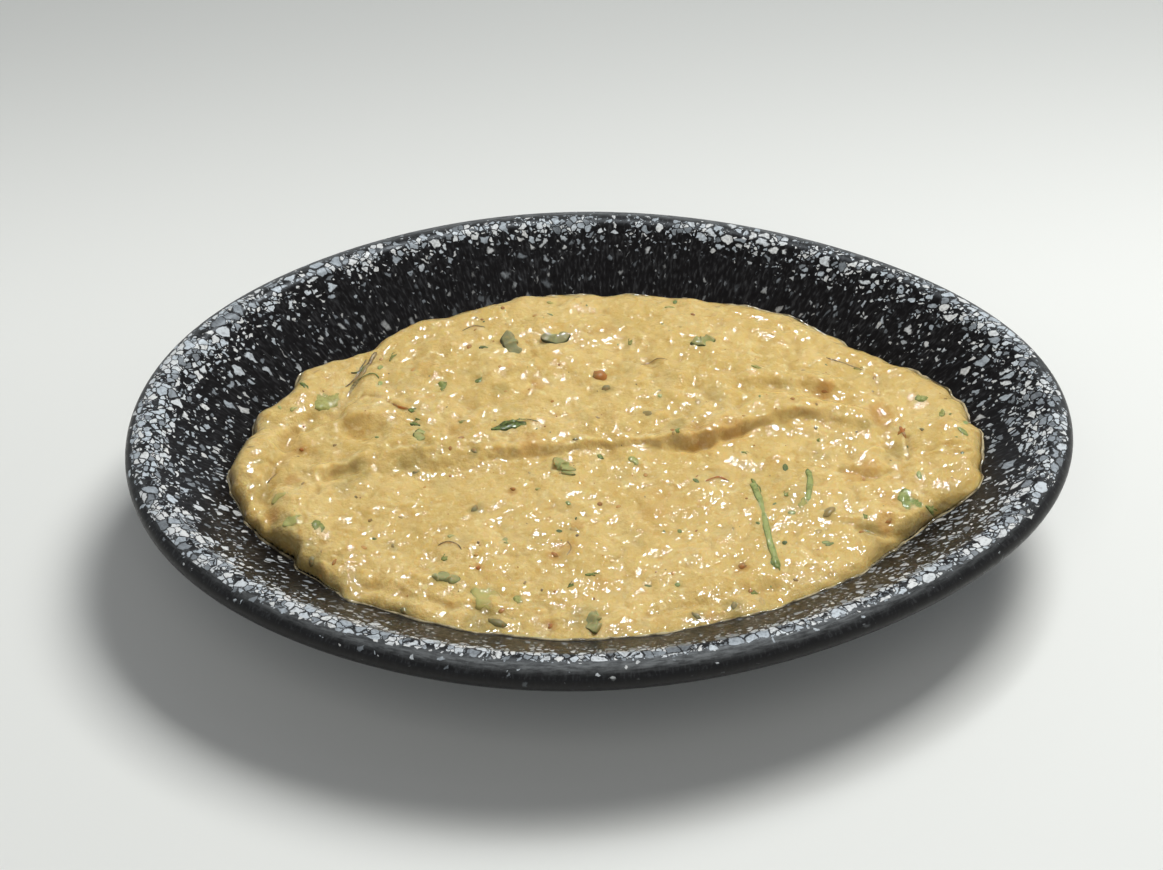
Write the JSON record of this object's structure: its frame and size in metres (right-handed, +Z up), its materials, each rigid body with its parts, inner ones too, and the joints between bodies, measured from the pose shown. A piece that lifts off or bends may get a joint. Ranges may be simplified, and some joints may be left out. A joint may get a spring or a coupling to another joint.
{
  "type": "baba ganoush in an oval bowl",
  "caption": "Lumpy aubergine dip with chopped herbs and green chilli, filling a thick-lipped oval bowl of black, white-speckled melamine.",
  "frame": {"origin": "centre of the foot's flat underside", "axes": "+X along the bowl's length towards its more pointed end, +Z up"},
  "size_m": [0.24, 0.1678, 0.04],
  "materials": {
    "melamine": "glossy black with white and grey stone-like chips",
    "dip": "wet, lumpy tan paste"
  },
  "bodies": {
    "root": {"bowl": "melamine", "baba_ganoush": "dip"}
  },
  "joints": []
}
